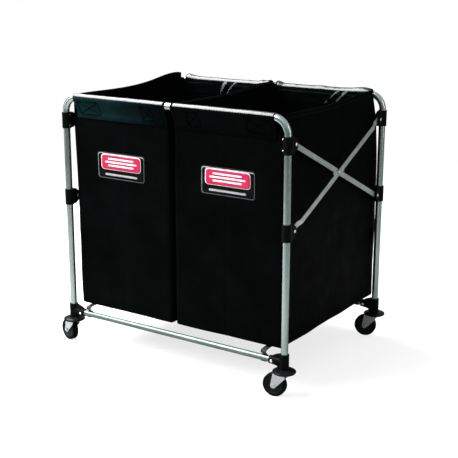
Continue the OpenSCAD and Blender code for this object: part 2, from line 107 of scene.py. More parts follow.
# ---------------------------------------------------------------- materials
class Nodes:
    """A material's node tree with short calls for the nodes that these materials use."""

    def __init__(self, name):
        self.material = bpy.data.materials.new(name)
        self.material.use_nodes = True
        self.tree = self.material.node_tree
        self.shader = self.tree.nodes["Principled BSDF"]
        self.place = self.add("ShaderNodeTexCoord").outputs["Object"]

    def add(self, kind, **values):
        node = self.tree.nodes.new(kind)
        for key, value in values.items():
            setattr(node, key, value)
        return node

    def link(self, source, target):
        self.tree.links.new(source, target)

    def scaled(self, x, y, z):
        """The object's own coordinates, scaled along each axis."""
        node = self.add("ShaderNodeMapping")
        node.inputs["Scale"].default_value = (x, y, z)
        self.link(self.place, node.inputs["Vector"])
        return node.outputs["Vector"]

    def noise(self, scale, detail=4.0, rough=0.55, stretch=(1, 1, 1)):
        node = self.add("ShaderNodeTexNoise")
        node.inputs["Scale"].default_value = scale
        node.inputs["Detail"].default_value = detail
        node.inputs["Roughness"].default_value = rough
        self.link(self.scaled(*stretch), node.inputs["Vector"])
        return node.outputs["Fac"]

    def wave(self, scale, axis, distortion=0.0):
        node = self.add("ShaderNodeTexWave", bands_direction=axis)
        node.inputs["Scale"].default_value = scale
        node.inputs["Distortion"].default_value = distortion
        self.link(self.place, node.inputs["Vector"])
        return node.outputs["Fac"]

    def cells(self, scale):
        node = self.add("ShaderNodeTexVoronoi")
        node.inputs["Scale"].default_value = scale
        self.link(self.place, node.inputs["Vector"])
        return node.outputs["Distance"]

    def math(self, operation, a, b):
        node = self.add("ShaderNodeMath", operation=operation)
        for socket, value in zip(node.inputs, (a, b)):
            if isinstance(value, (int, float)):
                socket.default_value = value
            else:
                self.link(value, socket)
        return node.outputs["Value"]

    def spread(self, fac, low, high, from_low=0.3, from_high=0.7):
        """fac, moved from one range of values to another."""
        node = self.add("ShaderNodeMapRange")
        node.inputs["From Min"].default_value = from_low
        node.inputs["From Max"].default_value = from_high
        node.inputs["To Min"].default_value = low
        node.inputs["To Max"].default_value = high
        self.link(fac, node.inputs["Value"])
        return node.outputs["Result"]

    def colours(self, fac, low, high, from_low=0.3, from_high=0.7):
        node = self.add("ShaderNodeValToRGB")
        node.color_ramp.elements[0].position = from_low
        node.color_ramp.elements[0].color = (*low, 1)
        node.color_ramp.elements[1].position = from_high
        node.color_ramp.elements[1].color = (*high, 1)
        self.link(fac, node.inputs["Fac"])
        self.link(node.outputs["Color"], self.shader.inputs["Base Color"])

    def roughness(self, fac, low, high):
        self.link(self.spread(fac, low, high), self.shader.inputs["Roughness"])

    def bump(self, *layers, round_edges=0.0):
        """Bump from (height, strength, distance) layers, over edges rounded by a bevel."""
        normal = None
        if round_edges:
            bevel = self.add("ShaderNodeBevel", samples=4)
            bevel.inputs["Radius"].default_value = round_edges
            normal = bevel.outputs["Normal"]
        for height, strength, distance in layers:
            node = self.add("ShaderNodeBump")
            node.inputs["Strength"].default_value = strength
            node.inputs["Distance"].default_value = distance
            self.link(height, node.inputs["Height"])
            if normal:
                self.link(normal, node.inputs["Normal"])
            normal = node.outputs["Normal"]
        self.link(normal, self.shader.inputs["Normal"])

    def fade_out(self, near, far):
        """Clear beyond a distance from the origin, so that the floor runs out into the backdrop."""
        reach = self.add("ShaderNodeVectorMath", operation="LENGTH")
        self.link(self.place, reach.inputs[0])
        self.link(self.spread(reach.outputs["Value"], 1, 0, near, far), self.shader.inputs["Alpha"])

    def fixed(self, **values):
        """Values that are the same all over the surface, set on the shader's own sockets."""
        for key, value in values.items():
            self.shader.inputs[key.replace("_", " ")].default_value = value


def tube_metal(name, low, high, rough_low=0.23, rough_high=0.28):
    """Satin silver coat on drawn tube: faint orange peel, slightly uneven tone."""
    n = Nodes(name)
    n.colours(n.noise(9, 4), low, high)
    n.roughness(n.noise(40, 4, stretch=(1, 1, 0.3)), rough_low, rough_high)
    n.bump((n.noise(1100, 3), 0.02, 0.0001), (n.noise(22, 2), 0.006, 0.0003))
    n.fixed(Metallic=0.95, Coat_Weight=0.12, Coat_Roughness=0.1)
    return n.material


def bar_metal():
    """The same coat on flat bar, with a finer grain along the bar."""
    n = Nodes("bar_metal")
    n.colours(n.noise(30, 6), (0.46, 0.52, 0.50), (0.60, 0.66, 0.64))
    n.roughness(n.noise(120, 4), 0.30, 0.44)
    n.bump((n.noise(1400, 3), 0.14, 0.0003), round_edges=0.0007)
    n.fixed(Metallic=0.8, Coat_Weight=0.15, Coat_Roughness=0.2)
    return n.material


def zinc(name, low, high):
    """Bright zinc plate: pale blue-white, brushed haze and a light spangle."""
    n = Nodes(name)
    n.colours(n.cells(160), low, high, 0.0, 0.6)
    n.roughness(n.noise(90, 5), 0.24, 0.36)
    n.bump((n.noise(700, 4), 0.06, 0.0003), (n.noise(50, 2), 0.02, 0.0004), round_edges=0.0006)
    n.fixed(Metallic=1.0)
    return n.material


def black_plastic():
    """Moulded black nylon: fine spark-eroded grain, edges polished by hands."""
    n = Nodes("black_plastic")
    n.colours(n.noise(25, 5), (0.0012, 0.0016, 0.0016), (0.003, 0.0036, 0.0036))
    n.roughness(n.noise(45, 4), 0.30, 0.46)
    n.bump((n.cells(1500), 0.20, 0.0003), (n.noise(80, 2), 0.05, 0.0006), round_edges=0.0012)
    n.fixed(Specular_IOR_Level=0.025)
    return n.material


def bumper_rubber():
    """Smooth moulded disc, rather glossy, with dust and fine scuffs."""
    n = Nodes("bumper_rubber")
    n.colours(n.noise(40, 6, 0.65), (0.002, 0.0026, 0.0026), (0.007, 0.008, 0.008))
    n.roughness(n.noise(70, 6, 0.65), 0.14, 0.30)
    n.bump((n.noise(600, 4), 0.08, 0.0003), round_edges=0.001)
    n.fixed(Specular_IOR_Level=0.05)
    return n.material


def hub_plastic():
    """Dark grey moulded wheel centre with a fine grain."""
    n = Nodes("hub_plastic")
    n.colours(n.noise(50, 5), (0.0045, 0.0055, 0.0055), (0.010, 0.0115, 0.012))
    n.roughness(n.noise(60, 4), 0.28, 0.42)
    n.bump((n.noise(1200, 3), 0.15, 0.0003), round_edges=0.0007)
    n.fixed(Specular_IOR_Level=0.10)
    return n.material


def tyre_rubber():
    """Soft grey-black rubber: fine grain and an uneven, dusty tone."""
    n = Nodes("tyre_rubber")
    n.colours(n.noise(90, 7, 0.7), (0.0016, 0.002, 0.002), (0.006, 0.0064, 0.0064))
    n.roughness(n.noise(50, 5), 0.40, 0.60)
    n.bump((n.noise(1500, 3), 0.25, 0.0003), (n.noise(220, 3), 0.10, 0.0005))
    n.fixed(Specular_IOR_Level=0.02)
    return n.material


def coated_cloth(name, low, high, rough_low, rough_high, specular):
    """Coated oxford cloth: a plain weave of 0.8 mm pitch under a thin coat, and soft creases."""
    n = Nodes(name)
    n.colours(n.noise(7, 6, 0.6), low, high)
    n.roughness(n.noise(18, 5, 0.6), rough_low, rough_high)
    across = n.math("MULTIPLY", n.wave(400, "X"), n.wave(400, "Z"))
    along = n.math("ADD", across, n.math("MULTIPLY", n.wave(400, "Y"), 0.5))
    n.bump(
        (n.noise(28, 5, 0.6), 0.22, 0.004),
        (n.noise(110, 4, 0.6), 0.16, 0.0012),
        (along, 0.12, 0.0003),
    )
    n.fixed(Specular_IOR_Level=specular)
    return n.material


def painted_sheen_cloth():
    """The same cloth with a painted sheen: a dull teal colour standing in for reflected light,
    strongest towards the outer corner.
    """
    n = Nodes("flap_cloth_painted_sheen")
    split = n.add("ShaderNodeSeparateXYZ")
    n.link(n.place, split.inputs[0])
    # Painted sheen: full towards the outer corner, gone towards the middle, and patchy
    outward = n.spread(split.outputs["X"], 0.80, 0.0, -0.25, -0.03)
    patchy = n.spread(n.noise(11, 6, 0.62), 0.45, 1.25)
    n.colours(
        n.math("MULTIPLY", outward, patchy),
        (0.0006, 0.0012, 0.0013), (0.0052, 0.0200, 0.0215), 0.0, 1.0,
    )
    n.roughness(n.noise(18, 5, 0.6), 0.34, 0.48)
    n.bump((n.noise(28, 5, 0.6), 0.20, 0.003), (n.noise(110, 4, 0.6), 0.14, 0.0010))
    n.fixed(Specular_IOR_Level=0.005)
    return n.material


def webbing_cloth():
    """Woven polypropylene webbing: ribs across the strap every 1.6 mm."""
    n = Nodes("webbing_cloth")
    n.colours(n.noise(60, 5), (0.006, 0.0075, 0.0075), (0.016, 0.019, 0.019))
    n.roughness(n.noise(120, 4), 0.42, 0.6)
    n.bump((n.wave(200, "Y"), 0.5, 0.0006), (n.wave(520, "X"), 0.3, 0.0003))
    n.fixed(Specular_IOR_Level=0.25)
    return n.material


def thread(name, low, high):
    """Twisted polyester thread."""
    n = Nodes(name)
    n.colours(n.noise(300, 3), low, high)
    n.roughness(n.noise(400, 3), 0.5, 0.7)
    n.bump((n.noise(3000, 2), 0.3, 0.0002))
    n.fixed(Specular_IOR_Level=0.01)
    return n.material


def print_ink(name, low, high, specular=0.15):
    """Satin printed film over the cloth, a little mottled."""
    n = Nodes(name)
    n.colours(n.noise(35, 6, 0.65), low, high)
    n.fixed(Specular_IOR_Level=specular)
    n.roughness(n.noise(60, 5), 0.24, 0.40)
    n.bump((n.noise(180, 4), 0.10, 0.0006), (n.noise(1400, 2), 0.08, 0.0002))
    return n.material


TUBE = tube_metal("tube_metal", (0.30, 0.37, 0.355), (0.37, 0.44, 0.425))
# The cross tubes: the same tube coat, rougher and darker; the darker colour is painted shade
SHADED_TUBE = tube_metal("tube_metal_painted_shade", (0.11, 0.145, 0.138), (0.155, 0.195, 0.185), 0.42, 0.50)
BAR = bar_metal()
ZINC = zinc("zinc", (0.72, 0.74, 0.76), (0.86, 0.87, 0.88))
FORK_ZINC = zinc("fork_zinc", (0.44, 0.46, 0.47), (0.52, 0.54, 0.55))
PLASTIC = black_plastic()
BUMPER = bumper_rubber()
HUB = hub_plastic()
TYRE = tyre_rubber()
CLOTH = coated_cloth("bag_cloth", (0.0003, 0.0005, 0.0005), (0.0012, 0.0017, 0.0017), 0.40, 0.55, 0.010)
FLAP = coated_cloth("flap_cloth", (0.0004, 0.0007, 0.0007), (0.0014, 0.0022, 0.0024), 0.38, 0.52, 0.008)
SLICK = coated_cloth("rail_wear_cloth", (0.0012, 0.002, 0.002), (0.003, 0.005, 0.005), 0.20, 0.30, 0.42)
# Pale cloth for the rear sleeves' pulled folds: a painted highlight, glints painted into the colour
PAINTED_GLINT = coated_cloth("fold_painted_highlight_cloth", (0.05, 0.06, 0.06), (0.15, 0.17, 0.17), 0.26, 0.38, 0.25)
PAINTED_SHEEN = painted_sheen_cloth()
WEBBING = webbing_cloth()
THREAD = thread("thread", (0.0012, 0.0016, 0.0016), (0.0035, 0.0045, 0.0045))
FLAP_THREAD = thread("flap_thread", (0.0001, 0.0002, 0.0002), (0.0003, 0.0004, 0.0004))
INK_DARK = print_ink("label_dark", (0.002, 0.0023, 0.0026), (0.005, 0.0055, 0.006), 0.02)
INK_RED = print_ink("label_red", (0.38, 0.010, 0.045), (0.50, 0.018, 0.07))
INK_WHITE = print_ink("label_white", (0.80, 0.80, 0.80), (0.92, 0.92, 0.91))
INK_GREY = print_ink("label_grey", (0.24, 0.25, 0.26), (0.34, 0.35, 0.36))

NODE_LOOKS = {
    "frame": TUBE, "cross_tube": SHADED_TUBE, "brace_straight": BAR, "brace_joggled": BAR,
    "brace_pivot": BAR, "rivet": ZINC, "axle": FORK_ZINC, "fork": FORK_ZINC, "fixings": ZINC,
    "stems": FORK_ZINC, "clamp": PLASTIC, "socket": PLASTIC, "bumpers": BUMPER,
    "hub": HUB, "tyre": TYRE,
}
for node_name, node_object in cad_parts.items():
    for start_of_name, look in NODE_LOOKS.items():
        if node_name.startswith(start_of_name):
            node_object.data.materials.clear()
            node_object.data.materials.append(look)


# ---------------------------------------------------------------- mesh helpers
def mesh_piece(name, points, faces, look):
    """A smooth-shaded mesh object from points and faces."""
    mesh = bpy.data.meshes.new(name)
    mesh.from_pydata([tuple(p) for p in points], [], faces)
    mesh.materials.append(look)
    mesh.validate()
    piece = bpy.data.objects.new(name, mesh)
    bpy.context.scene.collection.objects.link(piece)
    for polygon in piece.data.polygons:
        polygon.use_smooth = True
    return piece


def thicken(piece, thickness):
    """Turns a sheet into a closed solid, with half of the thickness on each side."""
    solid = piece.modifiers.new("thickness", "SOLIDIFY")
    solid.thickness = thickness
    solid.offset = 0
    bpy.context.view_layer.update()
    graph = bpy.context.evaluated_depsgraph_get()
    done = bpy.data.meshes.new_from_object(piece.evaluated_get(graph))
    piece.modifiers.clear()
    piece.data = done
    for polygon in piece.data.polygons:
        polygon.use_smooth = True


def weld(piece, distance=0.0004):
    """Joins the grids' shared edges and turns every face the same way."""
    mesh = bmesh.new()
    mesh.from_mesh(piece.data)
    bmesh.ops.remove_doubles(mesh, verts=mesh.verts, dist=distance)
    bmesh.ops.recalc_face_normals(mesh, faces=mesh.faces)
    mesh.to_mesh(piece.data)
    mesh.free()


def grid_faces(rows, columns, closed=False):
    """Quads over a grid of points stored row by row. Closed joins each row's two ends."""
    faces = []
    last = columns if closed else columns - 1
    for r in range(rows - 1):
        for c in range(last):
            a = r * columns + c
            b = r * columns + (c + 1) % columns
            faces.append((a, b, b + columns, a + columns))
    return faces


def joined(parts):
    """One (points, faces) pair out of several."""
    points = []
    faces = []
    for some_points, some_faces in parts:
        first = len(points)
        points.extend(some_points)
        faces.extend(tuple(i + first for i in face) for face in some_faces)
    return points, faces


def steps(low, high, step):
    """Even places from low to high, about a step apart, with both ends."""
    return np.linspace(low, high, max(2, int(round(abs(high - low) / step)) + 1))


def eased(t):
    """A smooth start and end: 0 up to t = 0, 1 from t = 1."""
    t = min(1, max(0, t))
    return t * t * (3 - 2 * t)


def lean(z):
    """How far the cloth has left the rail behind: 0 at the rail, 1 from a third of the way down."""
    return math.sin(math.pi / 2 * min(1, max(0, 3.2 * (RAIL_Z - z) / (RAIL_Z - FLOOR_Z))))


def bell(distance, width):
    """1 at no distance, fading to nothing over about two widths."""
    return math.exp(-(distance / width) ** 2)


# ---------------------------------------------------------------- the bags' shape
class Bag:
    """One open bag: its box, the rounding of its edges, and how its cloth hangs."""

    def __init__(self, side):
        self.side = side
        self.x = (BAG_IN, BAG_OUT) if side > 0 else (-BAG_OUT, -BAG_IN)
        self.width = self.x[1] - self.x[0]
        self.inner_x = BAG_IN * side
        self.outer_x = BAG_OUT * side
        self.seed = 3.7 if side > 0 else 11.3
        self.name = "right" if side > 0 else "left"

    def top_of_side(self, y, outer):
        """Height of a side's free edge: slack in the middle, high at the rear corner."""
        t = (y + PANEL_Y) / (2 * PANEL_Y)
        low = RAIL_HI.z - 0.005
        lift = 0.021 if outer and self.side < 0 else 0.010
        return low + lift * bell(t - 0.93, 0.22) - 0.004 * bell(t - 0.42, 0.25)

    def rounded(self, p, shrink=0.0):
        """A point on the sharp box moved onto the box with rounded edges, and its normal."""
        open_top = 9
        lo = Vector((self.x[0] + shrink, -PANEL_Y + shrink, BASE_Z + shrink))
        hi = Vector((self.x[1] - shrink, PANEL_Y - shrink, open_top))
        core = Vector(min(max(v, a + CORNER_R), b - CORNER_R) for v, a, b in zip(p, lo, hi))
        out = Vector(p) - core
        if out.length < 1e-9:
            return Vector(p), Vector((0, 0, -1))
        return core + out.normalized() * CORNER_R, out.normalized()

    def slack(self, p, normal):
        """How far the cloth stands out of its box there: billow, drape folds and creases."""
        x0, x1 = self.x
        s = (p.x - x0) / (x1 - x0)
        t = (p.z - FLOOR_Z) / (RAIL_Z - FLOOR_Z)
        u = (p.y + PANEL_Y) / (2 * PANEL_Y)
        arch_s = max(0.0, math.sin(math.pi * min(max(s, 0), 1)))
        arch_u = max(0.0, math.sin(math.pi * min(max(u, 0), 1)))
        drop = max(0.0, min(1.0, (1 - t) * 1.35))
        ahead, behind = max(0.0, -normal.y), max(0.0, normal.y)
        outer = max(0.0, normal.x * self.side)
        inner = max(0.0, -normal.x * self.side)
        under = max(0.0, -normal.z)
        # The front and the inner side are drawn in, and the rear, outer side and floor belly out
        billow = (
            -0.0035 * ahead * arch_s * drop
            + 0.004 * behind * arch_s * drop ** 0.6
            + 0.0015 * outer * arch_u * math.sin(math.pi * min(1, max(0, t)) ** 0.8)
            - 0.004 * inner * arch_u * drop
            + 0.0035 * under * arch_s * arch_u
        )
        place = Vector((p.x * 7 + self.seed, p.y * 7, p.z * 2.2))
        folds = noise.noise(place) * 0.0034
        cross = noise.noise(Vector((p.x * 4 + p.z * 7, p.y * 4 - p.z * 6, self.seed))) * 0.0026
        crumple = noise.noise(Vector((p.x * 26, p.y * 26, p.z * 19 + self.seed))) * 0.0007
        soft = 0.30 + 0.70 * (outer + behind * 0.8 + under * 0.6 + inner * 0.5)
        calm = 1 - 0.8 * bell(t - 1.0, 0.09)
        # Storage creases: one across at mid height, one up the middle of each end panel
        crease = -0.0011 * (bell(t - 0.47, 0.010) + bell(s - 0.5, 0.012) * (ahead + behind))
        return billow + (folds + cross + crumple) * min(1, soft) * calm + crease * calm

    def place(self, p, shrink=0.0, proud=0.0):
        """A point of the sharp box on the hanging cloth."""
        q, normal = self.rounded(p, shrink)
        moved = q + normal * (self.slack(q, normal) + proud)
        fall = lean(q.z)
        behind = eased((q.y - REAR_BULGE_FROM_Y) / (PANEL_Y - REAR_BULGE_FROM_Y))
        moved.y += REAR_BULGE * fall * behind
        drop = (RAIL_Z - q.z) / (RAIL_Z - FLOOR_Z)
        out = OUTER_BULGE * fall if self.side > 0 else LEFT_SPREAD - LEFT_TUCK * drop
        outward = eased((q.x * self.side - SPREAD_FROM_X) / (BAG_OUT - SPREAD_FROM_X))
        moved.x += self.side * out * outward
        reach = min(max(moved.x * self.side, INNER_LIMIT), OUTER_LIMIT)
        moved.x = self.side * reach
        return moved

    def wall_x(self, x, y0, y1, outer, shrink=0.0):
        """Grid of one side wall: rows go up, columns run from y0 to y1."""
        columns = steps(y0, y1, STEP)
        rows = np.linspace(0, 1, WALL_ROWS)
        points = []
        for r in rows:
            for y in columns:
                top = self.top_of_side(y, outer)
                z = BASE_Z + r * (top - BASE_Z)
                points.append(self.place(Vector((x, y, z)), shrink))
        return points, grid_faces(len(rows), len(columns))

    def wall_y(self, y, shrink=0.0):
        """Grid of an end panel. It reaches higher beside the sleeve, where it meets the sides."""
        columns = steps(self.x[0], self.x[1], STEP)
        rows = np.linspace(0, 1, WALL_ROWS)
        points = []
        for r in rows:
            for x in columns:
                beside = not SLEEVE_NEAR + 0.001 < abs(x) < SLEEVE_FAR - 0.001
                top = RAIL_HI.z - 0.004 if beside else BODY_TOP
                z = BASE_Z + r * (top - BASE_Z)
                points.append(self.place(Vector((x, y, z)), shrink))
        return points, grid_faces(len(rows), len(columns))

    def base(self, y0, y1, shrink=0.0):
        """Grid of the floor, from y0 to y1."""
        columns = steps(self.x[0], self.x[1], STEP)
        rows = steps(y0, y1, STEP)
        points = [self.place(Vector((x, y, BASE_Z)), shrink) for y in rows for x in columns]
        return points, grid_faces(len(rows), len(columns))


# ---------------------------------------------------------------- riding on the frames
def folds_with_cart(piece):
    """Rides on the front frame, with a mesh of its own."""
    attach(piece, "front_frame")
    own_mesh(piece)


def rides(piece, front):
    """Rides on the front or the rear frame as it is."""
    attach(piece, "front_frame" if front else "rear_frame")


# ---------------------------------------------------------------- the bags' shells
def shell(name, parts):
    """One welded piece of cloth out of grids that share edges."""
    points, faces = joined(parts)
    piece = mesh_piece(name, points, faces, CLOTH)
    weld(piece)
    thicken(piece, CLOTH_T)
    return piece


def bag_body(bag):
    """Front panel, both sides and floor of one bag, as one shell."""
    end = PANEL_Y - FRONT_TRIM
    parts = [
        bag.wall_y(-PANEL_Y),
        bag.wall_x(bag.outer_x, -PANEL_Y, end, True),
        bag.wall_x(bag.inner_x, -PANEL_Y, end, False),
        bag.base(-PANEL_Y, end),
    ]
    return shell("bag_body_" + bag.name, parts)


def bag_back(bag):
    """Rear panel of one bag, with the laps that its sides and floor are sewn to."""
    start = PANEL_Y - LAP
    end = PANEL_Y - LAP_INSET
    inset = LAP_INSET * bag.side
    parts = [
        bag.wall_y(end, LAP_INSET),
        bag.wall_x(bag.outer_x - inset, start, end, True, LAP_INSET),
        bag.wall_x(bag.inner_x + inset, start, end, False, LAP_INSET),
        bag.base(start, end, LAP_INSET),
    ]
    return shell("bag_back_" + bag.name, parts)


# ---------------------------------------------------------------- the sleeves round the rails


def sleeve_profile():
    """Section of a sleeve as (across, up) from the rail's centre, from the bag's inside,
    over the rail and down to the flap's hem. Across is positive towards the bag."""
    clear = 0.0017
    drops = steps(SLEEVE_DROP, 0, 0.004)[:-1]
    profile = [(SLEEVE_R + clear * min(1, drop / 0.008), -drop) for drop in drops]
    end = math.pi + 2 * math.atan2(SLEEVE_R, FLAP_JOIN)
    profile += [(SLEEVE_R * math.cos(a), SLEEVE_R * math.sin(a)) for a in np.linspace(0, end, 27)]
    touch = np.array(profile[-1])
    join = np.array((SLEEVE_R - 0.0026, -FLAP_JOIN))
    hem = np.array((SLEEVE_R - 0.0030, -FLAP_DROP + RAIL_R))
    profile += [tuple(touch + (join - touch) * t) for t in np.linspace(0, 1, 10)[1:]]
    profile += [tuple(join + (hem - join) * t) for t in np.linspace(0, 1, 7)[1:]]
    return smooth_line(profile, 2)


def smooth_line(points, rounds):
    """The same line with its corners eased, its ends kept."""
    points = [np.array(p, float) for p in points]
    for _ in range(rounds):
        inner = [(a + 2 * b + c) / 4 for a, b, c in zip(points, points[1:], points[2:])]
        points = [points[0]] + inner + [points[-1]]
    return points


# Pulled folds on the rear sleeves' inside: x at the rail, x per metre of drop, half width
REAR_FOLDS = (
    (-0.200, -0.62, 0.0060),
    (-0.160, -0.90, 0.0030),
    (0.288, -1.05, 0.0045),
    (0.258, -1.15, 0.0030),
)
FOLD_REACH = 0.05

# Lumps where the rear sleeves are bunched over the rail: reach from the middle, width, height
CORNER_LUMP = {"right": (0.345, 0.040, 0.0065), "left": (0.37, 0.03, 0.0065)}
MIDDLE_LUMP = (0.020, 0.014, 0.0062)
LEFT_LUMP = (0.047, 0.012, 0.005)


class Sleeve:
    """One end's sleeve of one bag: over the front or the rear rail."""

    def __init__(self, bag, front):
        self.bag = bag
        self.front = front
        self.sign = 1 if front else -1
        self.profile = sleeve_profile()
        lengths = [0.0]
        for a, b in zip(self.profile, self.profile[1:]):
            lengths.append(lengths[-1] + float(np.linalg.norm(b - a)))
        self.lengths = lengths
        self.x0 = SLEEVE_NEAR if bag.side > 0 else -SLEEVE_FAR
        self.x1 = SLEEVE_FAR if bag.side > 0 else -SLEEVE_NEAR
        self.name = ("front_" if front else "rear_") + bag.name

    def section(self, s):
        """Point and outward normal of the section at length s along it."""
        s = min(max(s, 0), self.lengths[-1])
        i = max(0, min(len(self.lengths) - 2, int(np.searchsorted(self.lengths, s)) - 1))
        a, b = self.profile[i], self.profile[i + 1]
        along = (b - a) / np.linalg.norm(b - a)
        point = a + along * (s - self.lengths[i])
        return point, np.array((along[1], -along[0]))

    def wrinkle(self, x, s):
        """Creases that run slantwise round the rail, deeper on the rear sleeves."""
        seed = self.bag.seed + (0 if self.front else 40)
        slant = x * 34 + s * 22
        pull = noise.noise(Vector((slant, x * 3, seed)))
        ridge = max(0.0, pull - 0.12) ** 1.2
        amount = 0.0016 if self.front else 0.0042
        soft = noise.noise(Vector((x * 12, s * 16, seed + 5))) * 0.0007
        away = min(1.0, max(0.0, (self.lengths[-1] - s) / 0.012))
        outside = min(1.0, max(0.0, (s - 0.05) / 0.02))
        return (amount * ridge * outside + soft) * away + self.lump(x, s)

    def lump(self, x, s):
        """On the rear sleeves: the pulled folds inside the bag, and the lumps over the rail."""
        if self.front:
            return 0.0
        if s < FOLD_REACH:
            down = SLEEVE_DROP - s
            folds = [bell(x - at - run * down, 2.2 * width) for at, run, width in REAR_FOLDS]
            return 0.0035 * max(folds) * math.sin(math.pi * min(1, s / FOLD_REACH)) ** 0.5
        lumps = [CORNER_LUMP[self.bag.name], MIDDLE_LUMP]
        if self.bag.side < 0:
            lumps.append(LEFT_LUMP)
        height = sum(tall * bell(abs(x) - at, width) for at, width, tall in lumps)
        return height * bell(s - 0.072, 0.026)

    def at(self, x, s, proud=0.0):
        """A point on the sleeve's cloth."""
        point, normal = self.section(s)
        point = point + normal * (self.wrinkle(x, s) + proud)
        y = self.sign * (point[0] - RAIL_Y)
        if not self.front:
            y += REAR_BULGE * lean(RAIL_Z + point[1])
        return Vector((x, y, RAIL_Z + point[1]))

    def creased(self, place):
        """On one of the pulled folds that run slantwise down the rear sleeves' inside, which get the
        painted highlight.
        """
        if self.front or place.y > RAIL_Y - 0.007:
            return False
        down = RAIL_Z - place.z
        for x, run, width in REAR_FOLDS:
            uneven = noise.noise(Vector((place.x * 90, down * 120, 7)))
            if abs(place.x - x - run * down) < width * (1.1 - 20 * down + 0.5 * uneven):
                return True
        return False

    def cloth(self):
        """The sleeve's sheet: slick where it lies on the rail, and with a painted highlight, a pale
        colour, on its pulled folds.
        """
        columns = list(steps(self.x0, self.x1, 0.004))
        rows = self.lengths
        # Only the left bag's front flap gets the painted sheen
        look = PAINTED_SHEEN if self.front and self.bag.side < 0 else FLAP
        points = [self.at(x, s) for s in rows for x in columns]
        faces = grid_faces(len(rows), len(columns))
        piece = mesh_piece("bag_sleeve_" + self.name, points, faces, look)
        weld(piece, 0.00001)
        thicken(piece, CLOTH_T)
        slick, glint_index = 1, 2
        piece.data.materials.append(SLICK)
        piece.data.materials.append(PAINTED_GLINT)
        for polygon in piece.data.polygons:
            if polygon.center.z > RAIL_Z + SLICK_RISE:
                polygon.material_index = slick
            # The pulled folds get the pale painted highlight
            elif self.creased(polygon.center):
                polygon.material_index = glint_index
        return piece

    def band(self, x0, x1, name, proud=0.0009):
        """A bound end of the sleeve: a folded edge that stands proud all round."""
        rises = [0.0, 0.8, 1.0, 1.0, 0.8, 0.0]
        columns = list(zip(np.linspace(x0, x1, len(rises)), rises))
        points = [self.at(x, s, proud * rise) for s in self.lengths for x, rise in columns]
        piece = mesh_piece(name, points, grid_faces(len(self.lengths), len(rises)), CLOTH)
        thicken(piece, CLOTH_T * 0.8)
        return piece


# ---------------------------------------------------------------- sewing
# One stitch: a low ridge over six points, closed underneath
STITCH_FACES = ((0, 1, 2), (0, 2, 3), (0, 3, 4), (5, 2, 1), (5, 3, 2), (5, 4, 3), (0, 4, 5, 1))

# On a flap: the hem's rows above its edge, and the crossed boxes as x and run from there,
# the height of their lower and upper sides above the edge, and half the gap of a double row
HEM_ROWS = (0.004, 0.009)
FLAP_BOXES = ((0.365, -0.085), (0.065, 0.045))
BOX_HEIGHTS = (0.014, 0.061)
HALF_ROW = 0.0012

# On a bag: a row's distance from a rounded corner, its points' spacing, how far it ends from
# the panel's foot, top and sides, and the height of the row along the foot
SEAM_ROW = 0.006
ROW_STEP = 0.01
ROW_FOOT = 0.03
ROW_END = 0.02
SIDE_ROW_END = 0.01
FOOT_ROW = 0.028

# The hem along a side's free edge
HEM_DEPTH = 0.014
HEM_GAP = 0.0013
HEM_STITCH = 0.011


def stitches(paths, pitch=0.0042, length=0.0030, width=0.0010, height=0.0006):
    """Small rounded stitches along paths. Each path is a list of (point, normal)."""
    points = []
    faces = []
    for path in paths:
        places = np.array([tuple(p) for p, _ in path])
        normals = np.array([tuple(n) for _, n in path])
        gaps = np.linalg.norm(np.diff(places, axis=0), axis=1)
        run = np.concatenate([[0], np.cumsum(gaps)])
        for at in np.arange(pitch / 2, run[-1] - length / 2, pitch):
            ends = [at - length / 2, at + length / 2]
            a, b = (np.array([np.interp(e, run, places[:, k]) for k in range(3)]) for e in ends)
            normal = np.array([np.interp(at, run, normals[:, k]) for k in range(3)])
            normal /= np.linalg.norm(normal)
            along = (b - a) / max(np.linalg.norm(b - a), 1e-9)
            across = np.cross(normal, along) * width / 2
            up = normal * height
            middle = (a + b) / 2
            first = len(points)
            ring = [
                a, middle - across, middle - across * 0.4 + up, middle + across * 0.4 + up,
                middle + across, b,
            ]
            points.extend(Vector(p) for p in ring)
            faces.extend(tuple(first + i for i in face) for face in STITCH_FACES)
    return points, faces


def line_on_sleeve(sleeve, ends, proud=0.0005):
    """Path of (point, normal) between two (x, s) places on a sleeve."""
    (xa, sa), (xb, sb) = ends
    path = []
    for t in np.linspace(0, 1, 40):
        x, s = xa + (xb - xa) * t, sa + (sb - sa) * t
        _, normal = sleeve.section(s)
        out = Vector((0, sleeve.sign * normal[0], normal[1]))
        path.append((sleeve.at(x, s, proud + CLOTH_T / 2), out))
    return path


def sleeve_stitching(sleeve):
    """The hem's two rows, and the crossed box that holds each end of the flap."""
    full = sleeve.lengths[-1]
    inset = 0.010
    x0, x1 = sleeve.x0 + inset, sleeve.x1 - inset
    paths = [line_on_sleeve(sleeve, ((x0, full - up), (x1, full - up))) for up in HEM_ROWS]
    low, high = (full - up for up in BOX_HEIGHTS)
    for start, run in FLAP_BOXES:
        a = start * sleeve.bag.side
        b = a + run * sleeve.bag.side
        corners = [(a, low), (b, low), (b, high), (a, high), (a, low)]
        lines = list(zip(corners, corners[1:]))
        lines += [((a, low), (b, high)), ((a, high), (b, low))]
        for (xa, sa), (xb, sb) in lines:
            for apart in (-HALF_ROW, HALF_ROW):
                ends = ((xa + apart, sa + apart), (xb + apart, sb + apart))
                paths.append(line_on_sleeve(sleeve, ends))
    points, faces = stitches(paths, pitch=0.0036, length=0.0036, width=0.0020)
    return mesh_piece("stitching_" + sleeve.name, points, faces, FLAP_THREAD)


